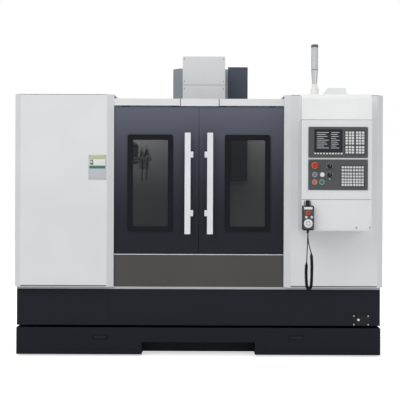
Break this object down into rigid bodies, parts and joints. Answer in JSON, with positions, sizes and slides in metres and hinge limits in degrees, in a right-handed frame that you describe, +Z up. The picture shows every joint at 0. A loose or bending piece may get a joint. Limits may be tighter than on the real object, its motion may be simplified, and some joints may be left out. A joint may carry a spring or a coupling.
{
  "type": "cnc machining center",
  "caption": "Fully enclosed vertical machining centre: sliding front doors, spindle head on a column, cross table, carousel tool magazine and an operator panel with a hand pendant.",
  "frame": {"origin": "on the floor below the centre of the machine", "axes": "+X to the operator's right, +Y from the doors to the back, +Z up"},
  "size_m": [2.7, 2.5063, 2.322],
  "materials": {
    "casting_paint": "semi-gloss enamel on castings",
    "white_paint": "fine-textured white powder coat",
    "dark_paint": "satin dark blue-grey powder coat",
    "grey_paint": "satin warm grey powder coat",
    "light_grey_paint": "light grey powder coat",
    "tray_paint": "dark grey powder coat",
    "machined_iron": "milled",
    "steel": "ground steel",
    "handle_metal": "brushed and anodised",
    "frame_plastic": "black",
    "tinted_glass": "tinted laminated window",
    "unit_plastic": "grey front panels",
    "key_plastic": "moulded keys",
    "screen_glass": "dark display",
    "lamp_plastic": "clear and white plastic",
    "pendant_plastic": "black housing",
    "cord_rubber": "black cord",
    "gland_metal": "nickel-plated gland",
    "handwheel_metal": "turned aluminium",
    "red_plastic": "red",
    "grey_cap": "grey cap",
    "white_cap": "white cap",
    "orange_cap": "orange cap",
    "green_cap": "green cap",
    "plate_metal": "plain plates"
  },
  "bodies": {
    "frame": {"bed": "casting_paint", "levelling_feet": "steel", "column": "casting_paint", "linear_rails": "steel", "base_skirt": "dark_paint", "chip_pan": "light_grey_paint", "lower_front_panel": "grey_paint", "left_cabinet": "white_paint", "right_cabinet": "white_paint", "rear_panels": "white_paint", "header": "white_paint", "operator_box": "white_paint", "operator_hood": "white_paint", "service_cover": "white_paint", "controller_unit": "unit_plastic", "screen": "screen_glass", "controller_keys": "key_plastic", "machine_panel": "unit_plastic", "machine_keys": "key_plastic", "signal_lamp": "lamp_plastic", "cable_duct": "white_paint", "pendant_body": "pendant_plastic", "cord_lead": "cord_rubber", "curly_cord": "cord_rubber", "cord_return": "cord_rubber", "cord_gland": "gland_metal", "plates": "plate_metal", "cable_tray": "tray_paint", "magazine_arm": "light_grey_paint", "electrical_cabinet": "light_grey_paint"},
    "left_door": {"left_door": "dark_paint", "left_window_frame": "frame_plastic", "left_window": "tinted_glass", "left_handle": "handle_metal"},
    "right_door": {"right_door": "dark_paint", "right_window_frame": "frame_plastic", "right_window": "tinted_glass", "right_handle": "handle_metal"},
    "saddle": {"saddle": "casting_paint"},
    "table": {"table": "machined_iron"},
    "head": {"head": "casting_paint", "head_cover": "white_paint"},
    "spindle": {"spindle": "steel"},
    "magazine": {"magazine_housing": "light_grey_paint"},
    "carousel": {"carousel": "steel", "tool_holders": "steel"},
    "coolant_tank": {"coolant_tank": "dark_paint"},
    "electrical_door": {"electrical_door": "light_grey_paint"},
    "main_switch": {"main_switch": "pendant_plastic"},
    "panel_stop": {"panel_stop": "red_plastic"},
    "grey_button": {"grey_button": "grey_cap"},
    "white_button": {"white_button": "white_cap"},
    "orange_button": {"orange_button": "orange_cap"},
    "green_button": {"green_button": "green_cap"},
    "feed_switch": {"feed_switch": "pendant_plastic"},
    "speed_switch": {"speed_switch": "pendant_plastic"},
    "pendant_stop": {"pendant_stop": "red_plastic"},
    "axis_selector": {"axis_selector": "pendant_plastic"},
    "step_selector": {"step_selector": "pendant_plastic"},
    "handwheel": {"handwheel": "handwheel_metal"}
  },
  "joints": [
    {"name": "left_door_slide", "type": "slide", "parent": "frame", "child": "left_door", "axis": [-1, 0, 0], "range_m": [0, 0.5]},
    {"name": "right_door_slide", "type": "slide", "parent": "frame", "child": "right_door", "axis": [1, 0, 0], "range_m": [0, 0.5]},
    {"name": "y_slide", "type": "slide", "parent": "frame", "child": "saddle", "axis": [0, 1, 0], "range_m": [-0.25, 0.25]},
    {"name": "x_slide", "type": "slide", "parent": "saddle", "child": "table", "axis": [1, 0, 0], "range_m": [-0.4, 0.4]},
    {"name": "z_slide", "type": "slide", "parent": "frame", "child": "head", "axis": [0, 0, 1], "range_m": [-0.5, 0.11]},
    {"name": "spindle_turn", "type": "hinge", "parent": "head", "child": "spindle", "pos_m": [0, -0.085, 1.6], "axis": [0, 0, 1], "continuous": true},
    {"name": "magazine_slide", "type": "slide", "parent": "frame", "child": "magazine", "axis": [1, 0, 0], "range_m": [0, 0.41]},
    {"name": "carousel_turn", "type": "hinge", "parent": "magazine", "child": "carousel", "pos_m": [-0.68, -0.085, 1.5], "axis": [0, 0, 1], "continuous": true},
    {"name": "tank_slide", "type": "slide", "parent": "frame", "child": "coolant_tank", "axis": [0, -1, 0], "range_m": [0, 0.6]},
    {"name": "electrical_door_hinge", "type": "hinge", "parent": "frame", "child": "electrical_door", "pos_m": [-0.45, 1.235, 1.2], "axis": [0, 0, 1], "range_deg": [0, 110]},
    {"name": "main_switch_turn", "type": "hinge", "parent": "electrical_door", "child": "main_switch", "pos_m": [0.33, 1.235, 1.5], "axis": [0, 1, 0], "range_deg": [0, 90]},
    {"name": "grey_button_push", "type": "slide", "parent": "frame", "child": "grey_button", "axis": [0, 1, 0], "range_m": [0, 0.003], "stiffness_N_per_m": 600},
    {"name": "white_button_push", "type": "slide", "parent": "frame", "child": "white_button", "axis": [0, 1, 0], "range_m": [0, 0.003], "stiffness_N_per_m": 600},
    {"name": "orange_button_push", "type": "slide", "parent": "frame", "child": "orange_button", "axis": [0, 1, 0], "range_m": [0, 0.003], "stiffness_N_per_m": 600},
    {"name": "green_button_push", "type": "slide", "parent": "frame", "child": "green_button", "axis": [0, 1, 0], "range_m": [0, 0.003], "stiffness_N_per_m": 600},
    {"name": "panel_stop_push", "type": "slide", "parent": "frame", "child": "panel_stop", "axis": [0, 1, 0], "range_m": [0, 0.005]},
    {"name": "feed_switch_turn", "type": "hinge", "parent": "frame", "child": "feed_switch", "pos_m": [0.919, -1.19, 1.389], "axis": [0, 1, 0], "range_deg": [-120, 120]},
    {"name": "speed_switch_turn", "type": "hinge", "parent": "frame", "child": "speed_switch", "pos_m": [0.918, -1.19, 1.328], "axis": [0, 1, 0], "range_deg": [-120, 120]},
    {"name": "pendant_stop_push", "type": "slide", "parent": "frame", "child": "pendant_stop", "axis": [0, 1, 0], "range_m": [0, 0.004]},
    {"name": "axis_selector_turn", "type": "hinge", "parent": "frame", "child": "axis_selector", "pos_m": [0.751, -1.23, 1.033], "axis": [0, 1, 0], "range_deg": [-75, 75]},
    {"name": "step_selector_turn", "type": "hinge", "parent": "frame", "child": "step_selector", "pos_m": [0.789, -1.23, 1.033], "axis": [0, 1, 0], "range_deg": [-45, 45]},
    {"name": "handwheel_turn", "type": "hinge", "parent": "frame", "child": "handwheel", "pos_m": [0.765, -1.23, 0.989], "axis": [0, 1, 0], "continuous": true}
  ]
}
